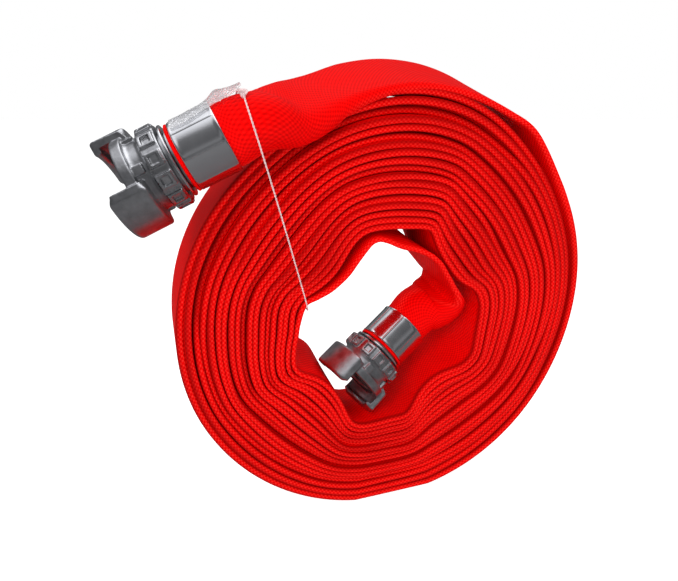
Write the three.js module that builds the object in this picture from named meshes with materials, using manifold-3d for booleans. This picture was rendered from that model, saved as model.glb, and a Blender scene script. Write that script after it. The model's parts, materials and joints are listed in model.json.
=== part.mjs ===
// A 38 mm lay-flat fire hose, rolled from one end, with a claw coupling on each end.
// Units are millimetres and +Z is up. The roll stands on its rim: its axis runs along Y, its open
// face looks towards -Y, and the origin is on the ground under the middle of the roll.
import * as THREE from 'three'
import { mergeVertices } from 'three/addons/utils/BufferGeometryUtils.js'
import Module from 'manifold-3d'

const wasm = await Module()
wasm.setup()

// ---- Driving dimensions: the roll -------------------------------------------------------------
const ROLL_RADIUS = 170
const HOSE_FLAT_WIDTH = 64
const HOSE_FLAT_THICKNESS = 3.6
const TURN_PITCH = 4.7
const GROUND_SAG = 3.2
const GROUND_FLAT_DEG = 22
const LEAD_START_DEG = 50
const EDGE_ROUND = 1.6

// ---- Driving dimensions: the couplings --------------------------------------------------------
const LATHE_SIDES = 24
const HOOK_SIDES = 32
const HOSE_SIDES = 14
const BORE_R = 14.5
const CLAW_TIP_Z = 12.5
const CLAW_BACK_Z = -10.5
const CLAW_OUTER_R = 31.7
const CLAW_INNER_R = 26.4
const CLAW_LIP_R = 22.6
const CLAW_LIP_Z = 7.6
const CLAW_SPAN_DEG = 88
const FLANGE_R = 26
const FLANGE_LENGTH = 6.8
const NECK_R = 22.2
const SKIRT_R = 22.8
const SKIRT_END_Z = -24.8
const CAVITY_R = 20.8
const CAVITY_Z = -11.5
const SEAL_GROOVE = { inner: 16.8, outer: 21.2, depth: 3.2 }
const SEAL_PROUD = 0.6
const RING_START_Z = -15.5
const RING_END_Z = -27.2
const RING_BASE_R = 24.3
const RING_PAD_R = 26.2
const RING_PADS = 12
const RING_PAD_SPAN_DEG = 20
const SHANK_R = 18.5
const TAIL_BORE_R = 14.8
const COLLAR_R = 20.5
const COLLAR_END_Z = -20
const SEAL_CHANNEL_Z = [-17.2, -14.2]
const SEAL_CHANNEL_R = 18
const CLIP_R = 23
const CLIP_Z = [-30.3, -28.8]
const HOSE_LIP_Z = -32.1
const FERRULE_Z = [-62.5, -34.5]
const FERRULE_R = { inner: 20.55, outer: 21.8 }
const CRIMP_RIDGES = 8
const BARB_COUNT = 5
const GAP = 0.3

// The jacket and its rubber lining where they are clamped between shank and ferrule.
const JACKET_R = { inner: 19.45, outer: 20.25 }
const LINING_R = { inner: 18.75, outer: 19.2 }
const LINING_END_Z = -69

// ---- Driving dimensions: where things lie, measured from the middle of the roll ----------------
// A coupling is placed by the end of its ferrule and by the way its mouth points.
const OUTER_COUPLING = { ferruleEnd: [-125.8, -42, 138.6], mouthWay: [-0.896, 0.115, -0.428], clockDeg: 50 }
const INNER_COUPLING = { ferruleEnd: [21.6, 3.8, -21.5], mouthWay: [-0.794, -0.168, -0.585], clockDeg: -10 }

// The hole in the roll: where the innermost laid turn looks into it, anticlockwise from the left.
const HOLE_OUTLINE = [
  [-80.5, 16], [-79.4, 4], [-82.1, -13], [-83, -26], [-79.5, -36], [-67, -42.5], [-54, -53.5], [-45.5, -66.6],
  [-38.5, -82], [-30.5, -90.5], [-17, -92], [12, -88.2], [19.5, -79], [28, -64], [41.2, -54.7], [58, -50.3],
  [70, -41.5], [72.6, -22], [73.6, -2], [69, 14.5], [54, 24.6], [41, 38], [30.7, 53.4], [23.5, 67], [6.5, 69.5],
  [-17, 69.6], [-33.5, 65], [-41.8, 55.4], [-49.5, 42.4], [-61, 31.4], [-74, 24.2],
]

// Hose stretches that leave the roll. Each row is the middle of a section, the way its width
// points, and half its width and thickness; the hose goes from lay-flat to round.
const HALF_WIDTH = HOSE_FLAT_WIDTH / 2
const HALF_THICKNESS = HOSE_FLAT_THICKNESS / 2
const OUTER_STRETCH = [
  { at: [107.9, 0, 128.6], wide: [0, 1, 0], half: [HALF_WIDTH, HALF_THICKNESS] },
  { at: [85, 0, 148.5], wide: [0.05, 0.995, 0.09], half: [HALF_WIDTH, HALF_THICKNESS] },
  { at: [54.6, -1.1, 168.1], wide: [0.08, 0.966, 0.25], half: [HALF_WIDTH, 2] },
  { at: [18.8, -3, 179.5], wide: [0.04, 0.94, 0.34], half: [HALF_WIDTH, 2.2] },
  { at: [-22, -6.5, 177.6], wide: [0, 0.94, 0.34], half: [30, 3.2] },
  { at: [-57, -15, 169.6], wide: [-0.02, 0.93, 0.36], half: [27, 6] },
  { at: [-85, -31, 158], wide: [-0.1, 0.9, 0.38], half: [23.5, 12] },
]
const INNER_STRETCH = [
  { at: [-73.5, 0, 19.4], wide: [0, 1, 0], half: [HALF_WIDTH, HALF_THICKNESS] },
  { at: [-57, 0, 27.2], wide: [0, 1, 0], half: [HALF_WIDTH, HALF_THICKNESS] },
  { at: [-45, 0, 36.8], wide: [0, 1, 0], half: [HALF_WIDTH, HALF_THICKNESS] },
  { at: [-35.5, 0, 48.8], wide: [0, 1, 0], half: [HALF_WIDTH, HALF_THICKNESS] },
  { at: [-25, 0, 61], wide: [0, 1, 0], half: [HALF_WIDTH, HALF_THICKNESS] },
  { at: [-9, 0, 62.3], wide: [0, 1, 0], half: [HALF_WIDTH, HALF_THICKNESS] },
  { at: [9, 0, 57], wide: [0, 1, 0], half: [HALF_WIDTH, 2] },
  { at: [25, 0, 48.5], wide: [0, 1, 0], half: [HALF_WIDTH, 2] },
  { at: [34.5, 0.5, 38.5], wide: [0, 1, 0.03], half: [HALF_WIDTH, 2] },
  { at: [45.5, 1, 24.5], wide: [0, 0.995, 0.08], half: [31.5, 2.2] },
  { at: [56.5, 3, 12.5], wide: [-0.02, 0.985, 0.15], half: [30.5, 3] },
  { at: [55, 9, -3], wide: [-0.25, 0.95, 0.1], half: [28, 6.5] },
]

// The string that ties the outer end down: through the hole, round the rim and back on itself.
const STRING_R = 0.8
const STRING_ROUTE = [
  [-116.4, -58.5, 162], [-116, -64.2, 157], [-114, -67.5, 148], [-111, -66.6, 138], [-97, -53.8, 94],
  [-84, -42, 51], [-76.5, -35.4, 25.5], [-74.6, -33.8, 18.5], [-73.4, -30.5, 15], [-73, -20, 14.4],
  [-73, 0, 14.4], [-73, 20, 14.4], [-73.4, 31, 15], [-74.8, 34, 19.5], [-77, 34.6, 29], [-84, 34.6, 54],
  [-97, 34.6, 100], [-104, 34.4, 125], [-106.4, 32.8, 132], [-108, 26, 135.4], [-112.5, -2, 147],
  [-115.8, -22, 157.5], [-117, -33, 163], [-117.2, -43, 165.4], [-117, -52, 164.8], [-116.8, -56, 163.8],
]
const TAPE = { at: [-127, -42, 163.9], size: [13, 17, 0.7], tiltDeg: 25 }

const ROLL_CENTRE_Z = ROLL_RADIUS - GROUND_SAG

// ---- Materials --------------------------------------------------------------------------------
const paint = (color, roughness, metalness) => new THREE.MeshStandardMaterial({ color, roughness, metalness })
const jacketRed = paint(0xe8100c, 0.75, 0)
const liningBlack = paint(0x1c1c1e, 0.8, 0)
const castAluminium = paint(0xa9abad, 0.42, 1)
const polishedAluminium = paint(0xc2c5c8, 0.18, 1)
const sealBlack = paint(0x202022, 0.7, 0)
const clearString = paint(0xe6c8c8, 0.35, 0)

const group = new THREE.Group()
const roll = new THREE.Group()
roll.position.z = ROLL_CENTRE_Z
group.add(roll)

function addPiece(parent, name, geometry, material) {
  const mesh = new THREE.Mesh(geometry, material)
  mesh.name = name
  parent.add(mesh)
  return mesh
}

// ---- Solids -----------------------------------------------------------------------------------
function toSolid(geometry) {
  const bare = geometry.clone()
  bare.deleteAttribute('normal')
  bare.deleteAttribute('uv')
  const merged = mergeVertices(bare, 1e-4)
  return new wasm.Manifold(new wasm.Mesh({
    numProp: 3,
    vertProperties: new Float32Array(merged.attributes.position.array),
    triVerts: new Uint32Array(merged.index.array),
  }))
}

function toGeometry(solid) {
  const mesh = solid.getMesh()
  const geometry = new THREE.BufferGeometry()
  geometry.setAttribute('position', new THREE.BufferAttribute(mesh.vertProperties, 3))
  geometry.setIndex(new THREE.BufferAttribute(mesh.triVerts, 1))
  geometry.computeVertexNormals()
  return geometry
}

// Turns a profile of [radius, z] corners, listed anticlockwise, about Z.
function turned(profile, sides = LATHE_SIDES) {
  const points = [...profile, profile[0]].map(([r, z]) => new THREE.Vector2(r, z))
  return new THREE.LatheGeometry(points, sides).rotateX(Math.PI / 2)
}

// A block that spans an angle about Z, between two radii and two heights.
function sector(innerR, outerR, z0, z1, midDeg, spanDeg) {
  const from = THREE.MathUtils.degToRad(midDeg - spanDeg / 2)
  const to = THREE.MathUtils.degToRad(midDeg + spanDeg / 2)
  const outline = new THREE.Shape()
  outline.absarc(0, 0, outerR, from, to, false)
  outline.absarc(0, 0, innerR, to, from, true)
  const steps = Math.max(2, Math.round(spanDeg / 15))
  const block = new THREE.ExtrudeGeometry(outline, { depth: z1 - z0, bevelEnabled: false, curveSegments: steps })
  return block.translate(0, 0, z0)
}

// A closed body that follows a row of sections: a cylinder whose rings are moved onto them.
function lofted(sections, steps, sides) {
  const path = new THREE.CatmullRomCurve3(sections.map((s) => new THREE.Vector3(...s.at)), false, 'centripetal')
  const wide = new THREE.CatmullRomCurve3(sections.map((s) => new THREE.Vector3(...s.wide)), false, 'centripetal')
  const half = new THREE.CatmullRomCurve3(
    sections.map((s) => new THREE.Vector3(s.half[0], s.half[1], 0)), false, 'centripetal')
  const body = new THREE.CylinderGeometry(1, 1, 1, sides, steps)
  const place = body.attributes.position
  for (let i = 0; i < place.count; i++) {
    const t = place.getY(i) + 0.5
    const along = path.getTangent(t)
    const across = wide.getPoint(t).normalize()
    const thick = new THREE.Vector3().crossVectors(across, along).normalize()
    across.crossVectors(along, thick).normalize()
    const size = half.getPoint(t)
    const point = path.getPoint(t)
    point.addScaledVector(across, size.x * place.getX(i))
    point.addScaledVector(thick, size.y * place.getZ(i))
    place.setXYZ(i, point.x, point.y, point.z)
  }
  return body
}

// ---- The roll ---------------------------------------------------------------------------------
function spiralRadius(deg) {
  return ROLL_RADIUS - TURN_PITCH + (TURN_PITCH * (deg - LEAD_START_DEG)) / 360
}

function rollGeometry() {
  const outline = new THREE.Shape()
  const stepDeg = 5
  for (let deg = LEAD_START_DEG; deg <= LEAD_START_DEG + 360 - stepDeg / 2; deg += stepDeg) {
    const angle = THREE.MathUtils.degToRad(deg)
    const x = spiralRadius(deg) * Math.cos(angle)
    const onGround = Math.abs(deg - 270) < GROUND_FLAT_DEG / 2
    const z = onGround ? -ROLL_CENTRE_Z : spiralRadius(deg) * Math.sin(angle)
    if (deg === LEAD_START_DEG) outline.moveTo(x, z)
    else outline.lineTo(x, z)
  }
  outline.closePath()
  const hole = new THREE.CatmullRomCurve3(HOLE_OUTLINE.map(([x, z]) => new THREE.Vector3(x, z, 0)), true)
  const around = hole.getPoints(HOLE_OUTLINE.length * 3).slice(0, -1).map((p) => new THREE.Vector2(p.x, p.y))
  outline.holes.push(new THREE.Path(around.reverse()))
  const slab = new THREE.ExtrudeGeometry(outline, {
    depth: HOSE_FLAT_WIDTH - 2 * EDGE_ROUND,
    bevelEnabled: true,
    bevelThickness: EDGE_ROUND,
    bevelSize: EDGE_ROUND,
    bevelOffset: -EDGE_ROUND,
    bevelSegments: 1,
  })
  return slab.translate(0, 0, EDGE_ROUND - HALF_WIDTH).rotateX(Math.PI / 2)
}
addPiece(roll, 'hose_roll', rollGeometry(), jacketRed)

// ---- The couplings ----------------------------------------------------------------------------
function clawHeadGeometry() {
  const body = toSolid(turned([
    [BORE_R, 0], [BORE_R, CAVITY_Z], [CAVITY_R, CAVITY_Z], [CAVITY_R, SKIRT_END_Z], [SKIRT_R, SKIRT_END_Z],
    [SKIRT_R, RING_START_Z + GAP], [NECK_R, RING_START_Z + 1.5], [NECK_R, -FLANGE_LENGTH - 1.5],
    [NECK_R + 1.2, -FLANGE_LENGTH], [FLANGE_R - 1, -FLANGE_LENGTH], [FLANGE_R, -FLANGE_LENGTH + 1],
    [FLANGE_R, -1], [FLANGE_R - 1, 0], [SEAL_GROOVE.outer, 0], [SEAL_GROOVE.outer, -SEAL_GROOVE.depth],
    [SEAL_GROOVE.inner, -SEAL_GROOVE.depth], [SEAL_GROOVE.inner, 0],
  ]))
  const hook = toSolid(turned([
    [NECK_R - 0.5, -FLANGE_LENGTH], [NECK_R + 0.5, CLAW_BACK_Z], [CLAW_OUTER_R - 4, CLAW_BACK_Z],
    [CLAW_OUTER_R - 1.2, CLAW_BACK_Z + 1.8], [CLAW_OUTER_R, CLAW_BACK_Z + 5],
    [CLAW_OUTER_R, CLAW_TIP_Z - 2.5], [CLAW_OUTER_R - 2.5, CLAW_TIP_Z],
    [CLAW_LIP_R + 1, CLAW_TIP_Z], [CLAW_LIP_R, CLAW_TIP_Z - 1], [CLAW_LIP_R, CLAW_LIP_Z + 1],
    [CLAW_LIP_R + 1, CLAW_LIP_Z], [CLAW_INNER_R, CLAW_LIP_Z], [CLAW_INNER_R, -1], [FLANGE_R - 2, -1.5],
    [NECK_R - 0.5, -3],
  ], HOOK_SIDES))
  let head = body
  for (const midDeg of [0, 180]) {
    const wedge = toSolid(sector(5, CLAW_OUTER_R + 5, -20, CLAW_TIP_Z + 5, midDeg, CLAW_SPAN_DEG))
    head = head.add(hook.intersect(wedge))
  }
  return toGeometry(head)
}

function faceSealGeometry() {
  const bottom = -SEAL_GROOVE.depth + GAP
  const inner = SEAL_GROOVE.inner + GAP
  const outer = SEAL_GROOVE.outer - GAP
  return turned([[inner, bottom], [outer, bottom], [outer, SEAL_PROUD], [inner, SEAL_PROUD]])
}

function lockRingGeometry() {
  const lipR = SHANK_R + 0.4
  let ring = toSolid(turned([
    [lipR, RING_END_Z], [RING_BASE_R - 1, RING_END_Z], [RING_BASE_R, RING_END_Z + 1],
    [RING_BASE_R, RING_START_Z - 1], [RING_BASE_R - 1, RING_START_Z],
    [SKIRT_R + GAP, RING_START_Z], [SKIRT_R + GAP, SKIRT_END_Z - GAP],
    [CAVITY_R - GAP, SKIRT_END_Z - GAP], [CAVITY_R - GAP, COLLAR_END_Z - GAP], [lipR, COLLAR_END_Z - GAP],
  ]))
  const pocketSpan = RING_PAD_SPAN_DEG - 8
  for (let i = 0; i < RING_PADS; i++) {
    const deg = (i * 360) / RING_PADS
    const pad = toSolid(sector(
      RING_BASE_R - 0.8, RING_PAD_R, RING_END_Z + 1.2, RING_START_Z - 1.2, deg, RING_PAD_SPAN_DEG))
    const pocket = toSolid(sector(
      RING_BASE_R + 0.6, RING_PAD_R + 2, RING_END_Z + 3.2, RING_START_Z - 3.2, deg, pocketSpan))
    ring = ring.add(pad).subtract(pocket)
  }
  return toGeometry(ring)
}

// The tail: a collar that the lock ring traps in the head, a clip groove, and a barbed hose shank.
function tailGeometry() {
  const clipGrooveR = SHANK_R - 0.9
  const profile = [
    [TAIL_BORE_R, CAVITY_Z - GAP], [TAIL_BORE_R, FERRULE_Z[0] - 1], [SHANK_R - 1.6, FERRULE_Z[0] - 1],
  ]
  const barbPitch = (FERRULE_Z[1] - FERRULE_Z[0]) / BARB_COUNT
  for (let i = 0; i < BARB_COUNT; i++) {
    const z = FERRULE_Z[0] + i * barbPitch
    profile.push([SHANK_R, z + barbPitch * 0.6], [SHANK_R - 1.2, z + barbPitch * 0.75])
  }
  profile.push(
    [SHANK_R, FERRULE_Z[1] + 0.5], [SHANK_R, CLIP_Z[0] - GAP], [clipGrooveR, CLIP_Z[0] - GAP],
    [clipGrooveR, CLIP_Z[1] + GAP], [SHANK_R, CLIP_Z[1] + GAP], [SHANK_R, COLLAR_END_Z],
    [COLLAR_R, COLLAR_END_Z], [COLLAR_R, SEAL_CHANNEL_Z[0]], [SEAL_CHANNEL_R, SEAL_CHANNEL_Z[0]],
    [SEAL_CHANNEL_R, SEAL_CHANNEL_Z[1]], [COLLAR_R, SEAL_CHANNEL_Z[1]], [COLLAR_R, CAVITY_Z - GAP],
  )
  return turned(profile)
}

function swivelSealGeometry() {
  const middleZ = (SEAL_CHANNEL_Z[0] + SEAL_CHANNEL_Z[1]) / 2
  return new THREE.TorusGeometry(SEAL_CHANNEL_R + 1.42, 1.15, 6, LATHE_SIDES).translate(0, 0, middleZ)
}

function clipGeometry() {
  const inner = SHANK_R - 0.9 + GAP
  return turned([
    [inner, CLIP_Z[0]], [CLIP_R - 0.5, CLIP_Z[0]], [CLIP_R, CLIP_Z[0] + 0.5], [CLIP_R, CLIP_Z[1] - 0.5],
    [CLIP_R - 0.5, CLIP_Z[1]], [inner, CLIP_Z[1]],
  ])
}

function ferruleGeometry() {
  const [z0, z1] = FERRULE_Z
  const { inner, outer } = FERRULE_R
  let shell = toSolid(turned([
    [inner, z0], [outer - 0.4, z0], [outer, z0 + 0.4], [outer, z1 - 0.4], [outer - 0.4, z1], [inner, z1],
  ]))
  for (let i = 0; i < CRIMP_RIDGES; i++) {
    const ridge = sector(outer - 0.5, outer + 0.35, z0 + 1.5, z1 - 1.5, (i * 360) / CRIMP_RIDGES, 2.4)
    shell = shell.add(toSolid(ridge))
  }
  return toGeometry(shell)
}

function liningGeometry() {
  return turned([
    [LINING_R.inner, LINING_END_Z], [LINING_R.outer, LINING_END_Z], [LINING_R.outer, HOSE_LIP_Z - 0.4],
    [LINING_R.inner, HOSE_LIP_Z - 0.4],
  ])
}

// The frame of a coupling: Z out of its mouth, turned about that axis by its clock angle.
function couplingFrame(place) {
  const way = new THREE.Vector3(...place.mouthWay).normalize()
  const side = new THREE.Vector3(0, 1, 0).cross(way).normalize()
  const up = new THREE.Vector3().crossVectors(way, side)
  const frame = new THREE.Group()
  frame.quaternion.setFromRotationMatrix(new THREE.Matrix4().makeBasis(side, up, way))
  frame.position.set(...place.ferruleEnd).addScaledVector(way, -FERRULE_Z[0])
  return frame
}

// The stretch of hose behind a coupling, with the blind bore that the lining and shank go into.
function hoseEnd(frame, sections, steps) {
  const inLine = (z) => {
    const point = new THREE.Vector3(0, 0, z).applyQuaternion(frame.quaternion)
    return point.add(frame.position).toArray()
  }
  const side = new THREE.Vector3(0, 1, 0).toArray()
  const round = [JACKET_R.outer, JACKET_R.outer]
  const nearlyRound = [JACKET_R.outer + 1.8, JACKET_R.outer - 3]
  const last = sections[sections.length - 1].wide
  const closing = [
    { at: inLine(FERRULE_Z[0] - 17), wide: last, half: nearlyRound },
    { at: inLine(FERRULE_Z[0] - 4), wide: side, half: round },
    { at: inLine(FERRULE_Z[0] / 2 + FERRULE_Z[1] / 2), wide: side, half: round },
    { at: inLine(HOSE_LIP_Z), wide: side, half: round },
  ]
  const bore = turned([
    [0, LINING_END_Z - GAP], [JACKET_R.inner, LINING_END_Z - GAP], [JACKET_R.inner, HOSE_LIP_Z + 5],
    [0, HOSE_LIP_Z + 5],
  ])
  bore.applyQuaternion(frame.quaternion).translate(frame.position.x, frame.position.y, frame.position.z)
  return toGeometry(toSolid(lofted([...sections, ...closing], steps, HOSE_SIDES)).subtract(toSolid(bore)))
}

function addCoupling(end, place, sections, steps) {
  const frame = couplingFrame(place)
  roll.add(frame)
  const head = new THREE.Group()
  head.rotation.z = THREE.MathUtils.degToRad(place.clockDeg)
  frame.add(head)
  addPiece(head, `${end}_claw_head`, clawHeadGeometry(), castAluminium)
  addPiece(head, `${end}_face_seal`, faceSealGeometry(), sealBlack)
  addPiece(head, `${end}_lock_ring`, lockRingGeometry(), castAluminium)
  addPiece(frame, `${end}_tail`, tailGeometry(), castAluminium)
  addPiece(frame, `${end}_swivel_seal`, swivelSealGeometry(), sealBlack)
  addPiece(frame, `${end}_retaining_clip`, clipGeometry(), polishedAluminium)
  addPiece(frame, `${end}_ferrule`, ferruleGeometry(), polishedAluminium)
  addPiece(frame, `${end}_lining`, liningGeometry(), liningBlack)
  addPiece(roll, `${end}_hose_end`, hoseEnd(frame, sections, steps), jacketRed)
}
addCoupling('outer', OUTER_COUPLING, OUTER_STRETCH, 32)
addCoupling('inner', INNER_COUPLING, INNER_STRETCH, 40)

// ---- The tie ----------------------------------------------------------------------------------
function stringGeometry() {
  const route = new THREE.CatmullRomCurve3(STRING_ROUTE.map((p) => new THREE.Vector3(...p)), false, 'centripetal')
  const section = new THREE.Shape()
  section.absarc(0, 0, STRING_R, 0, 2 * Math.PI, false)
  return new THREE.ExtrudeGeometry(section, { extrudePath: route, steps: 72, curveSegments: 4 })
}
addPiece(roll, 'tie_string', stringGeometry(), clearString)

const tape = addPiece(roll, 'tie_tape', new THREE.BoxGeometry(...TAPE.size), clearString)
tape.position.set(...TAPE.at)
tape.rotation.y = THREE.MathUtils.degToRad(-TAPE.tiltDeg)

export default group
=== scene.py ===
"""A rolled fire hose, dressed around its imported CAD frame.

The object's places and sizes are in millimetres until a mesh is made. Meshes, materials, camera, floor and
lights are in metres. Roll coordinates have their origin in the middle of the roll, which is ROLL_CENTRE_Z
above the ground.
"""
import json
import math

import bpy
import numpy as np
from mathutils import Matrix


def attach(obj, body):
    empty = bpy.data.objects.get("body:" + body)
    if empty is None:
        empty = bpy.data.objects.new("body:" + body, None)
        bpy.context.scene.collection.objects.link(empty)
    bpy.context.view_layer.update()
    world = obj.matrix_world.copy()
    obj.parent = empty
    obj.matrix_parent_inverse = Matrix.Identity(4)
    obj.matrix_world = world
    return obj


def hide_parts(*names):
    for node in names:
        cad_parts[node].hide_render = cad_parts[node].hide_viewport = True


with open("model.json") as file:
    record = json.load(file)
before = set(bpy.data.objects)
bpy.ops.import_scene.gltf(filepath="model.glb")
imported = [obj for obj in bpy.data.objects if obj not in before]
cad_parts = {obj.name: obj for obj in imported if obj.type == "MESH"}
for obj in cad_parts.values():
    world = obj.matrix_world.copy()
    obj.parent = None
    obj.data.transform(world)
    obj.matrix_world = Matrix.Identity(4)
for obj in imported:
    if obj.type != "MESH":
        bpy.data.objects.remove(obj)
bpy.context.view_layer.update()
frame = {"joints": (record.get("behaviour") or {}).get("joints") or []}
scene = bpy.context.scene
MM = 0.001

# ---- Sizes shared with the CAD model --------------------------------------------------------------
ROLL_RADIUS = 170.0
GROUND_SAG = 3.2
ROLL_CENTRE_Z = ROLL_RADIUS - GROUND_SAG
HALF_WIDTH = 32.0
FLAT_HALF = 2.25
LEAD_DEG = 50.0
TURNS = 19
CLOCK_DEG = {"outer": 50.0, "inner": -10.0}
FERRULE_Z = (-62.5, -34.5)

# ---- How the hose lies in the roll ----------------------------------------------------------------
# Angles are counted from +X through all turns, from the start of the innermost turn to the lead.
OUTERMOST_DEG = LEAD_DEG + 360 * TURNS
START_DEG = 172.0
END_DEG = OUTERMOST_DEG - 8
OUTER_MID = ROLL_RADIUS - FLAT_HALF
TURN_PITCH = 4.38
LOOSE_OUTSIDE = 5.7
LOOSE_TURNS = 1.8
WAVE_FADE = 1.3
THICKEST_HALF = 3.1
THINNEST_HALF = 1.2
TURN_GAP = 0.05
KNEE_LIFT = 5.2
KNEE_REACH_DEG = 10
# Slow waves that run on through the turns: height, waves to a radian turned, and phase.
RIPPLES = ((0.42, 1.37, 1.1), (0.34, 2.71, 0.4), (0.2, 5.3, 0.0))
# Where the outer turns stand away from a plain spiral: height, middle angle and reach.
BULGES = [(3.0, 192, 42), (1.3, 240, 28), (1.5, 315, 45), (-1.6, 128, 17), (7.6, 81, 30), (1.7, 15, 28)]
# Where the inner turns lean in towards the middle at the back: slope, middle angle and reach.
LEANS = [(0.2, 198, 22), (0.12, 330, 30)]
LEAN_FADE_DEG = 900
# Turns whose front edge sits back from the face: turn counted from the outside, from, to, depth.
SET_BACK = [
    (3, 50, 178, 6.5), (6, 20, 150, 3.4), (8, 190, 330, 3.4), (10, 60, 210, 3.2), (12, 230, 400, 3.4),
    (14, 90, 260, 2.8), (5, 250, 350, 2.8), (16, 300, 420, 2.2), (4, 180, 290, 3.0), (2, 330, 420, 2.4),
]

# The innermost turn looks into the hole along this line, from where it starts at the left, once round.
HOLE_OUTLINE = [
    (-78.9, 9.0), (-79.4, 3.6), (-80.2, -4.4), (-82.1, -13.0), (-83.2, -26.1), (-81.8, -33.9),
    (-76.4, -38.5), (-66.9, -42.5), (-59.6, -47.5), (-52.2, -55.5), (-45.5, -66.6), (-40.3, -78.5),
    (-35.0, -87.5), (-27.0, -91.0), (-13.6, -90.8), (0.0, -89.2), (11.6, -88.2), (17.3, -83.3),
    (21.7, -73.5), (26.8, -65.4), (33.1, -59.4), (41.2, -54.7), (50.6, -52.2), (60.1, -49.7),
    (67.5, -44.7), (71.3, -38.2), (72.3, -28.2), (73.0, -15.5), (73.7, -3.0), (72.8, 5.9), (68.6, 15.1),
    (61.5, 20.6), (53.8, 24.7), (46.9, 30.9), (41.0, 38.0), (35.1, 45.9), (30.7, 53.4), (27.2, 60.8),
    (24.3, 66.1), (18.2, 68.5), (6.5, 69.3), (-5.8, 69.8), (-17.9, 69.5), (-27.3, 68.0), (-33.5, 64.9),
    (-38.1, 60.4), (-41.8, 55.4), (-45.6, 48.9), (-49.5, 42.4), (-54.6, 36.4), (-60.8, 31.4),
    (-67.7, 27.1), (-75.0, 23.5), (-82.0, 15.0),
]

# Sections of the hose where it leaves the roll: middle, the way its width points, half width and thickness.
LEAD = [
    (110.0, 0.0, 139.8, 0.03, 0.995, 0.06, 32.0, 2.4),
    (90.5, 0.0, 156.6, 0.07, 0.97, 0.22, 32.0, 2.4),
    (68.0, -0.3, 168.0, 0.09, 0.96, 0.27, 32.0, 2.5),
    (37.7, -1.1, 176.6, 0.06, 0.95, 0.31, 32.0, 2.8),
    (4.0, -3.0, 179.0, 0.02, 0.945, 0.33, 31.8, 3.3),
    (-26.0, -6.5, 174.0, 0.0, 0.93, 0.37, 30.8, 4.4),
    (-57.0, -15.0, 162.6, -0.03, 0.9, 0.44, 28.0, 7.0),
    (-85.0, -30.0, 150.9, -0.12, 0.8, 0.58, 25.0, 12.6),
]
TONGUE = [
    (47.5, 7.0, -6.5, -0.3, 0.93, 0.12, 25.5, 18.0),
    (57.0, 4.5, 5.0, -0.1, 0.98, 0.13, 29.5, 7.5),
    (54.6, 2.5, 14.5, -0.02, 0.985, 0.14, 31.0, 3.0),
    (48.6, 2.0, 22.5, 0.0, 0.995, 0.08, 31.5, 2.4),
    (40.3, 1.0, 33.2, 0.0, 1.0, 0.03, 32.0, 2.2),
    (34.0, 0.5, 41.3, 0.0, 1.0, 0.0, 32.0, 2.1),
    (27.0, 0.0, 48.9, 0.02, 0.998, 0.05, 32.0, 2.1),
    (18.5, 0.0, 54.6, 0.03, 0.995, 0.1, 32.0, 2.0),
    (8.7, 0.0, 60.6, 0.03, 0.98, 0.2, 32.0, 2.0),
    (-0.6, 0.0, 63.1, 0.0, 0.985, 0.18, 32.0, 2.0),
    (-9.7, 0.0, 64.5, 0.0, 0.995, 0.09, 32.0, 2.0),
    (-17.7, 0.0, 64.6, 0.0, 0.999, 0.03, 32.0, 2.0),
    (-23.8, 0.0, 61.7, 0.0, 1.0, 0.0, 32.0, 2.0),
    (-28.9, 0.0, 56.3, 0.0, 1.0, 0.0, 32.0, 2.0),
    (-35.2, 0.0, 48.5, 0.0, 1.0, 0.0, 32.0, 2.0),
    (-41.3, 0.0, 40.5, 0.0, 1.0, 0.0, 32.0, 2.0),
    (-46.8, 0.0, 35.2, 0.0, 1.0, 0.0, 32.0, 2.0),
    (-56.0, 0.0, 28.4, 0.0, 1.0, 0.0, 32.0, 2.0),
    (-66.0, 0.0, 23.8, 0.0, 1.0, 0.0, 32.0, 2.0),
    (-75.0, 0.0, 19.8, 0.0, 1.0, 0.0, 32.0, 2.0),
]
# The string, from the knot down the front, through the hole, up the back and round the outer end.
STRING_ROUTE = [
    (-116.4, -58.5, 162), (-116, -64.2, 157), (-114, -67.5, 148), (-111, -66.6, 138), (-97, -53.8, 94),
    (-84, -42, 51), (-76.5, -35.4, 25.5), (-74.6, -33.8, 18.5), (-73.4, -30.5, 15), (-73, -20, 14.4),
    (-73, 0, 14.4), (-73, 20, 14.4), (-73.4, 31, 15), (-74.8, 34, 19.5), (-77, 36.2, 29), (-84, 37.2, 54),
    (-97, 39.8, 100), (-104, 39.4, 125), (-106.6, 36.0, 132.4), (-108, 26, 135.4), (-112.5, -2, 147),
    (-115.8, -22, 157.5), (-117, -33, 163), (-117.2, -43, 165.4), (-117, -52, 164.8), (-116.8, -56, 163.8),
]


# ---- Small tools ----------------------------------------------------------------------------------
def unit(v):
    v = np.asarray(v, float)
    return v / np.maximum(np.linalg.norm(v, axis=-1, keepdims=True), 1e-12)


def smoothstep(x):
    x = np.clip(x, 0.0, 1.0)
    return x * x * (3 - 2 * x)


def run_along(rows):
    """Distance along a path at each of its rows, whose first three numbers are a place."""
    return np.concatenate([[0], np.cumsum(np.linalg.norm(np.diff(rows[:, :3], axis=0), axis=1))])


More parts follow.
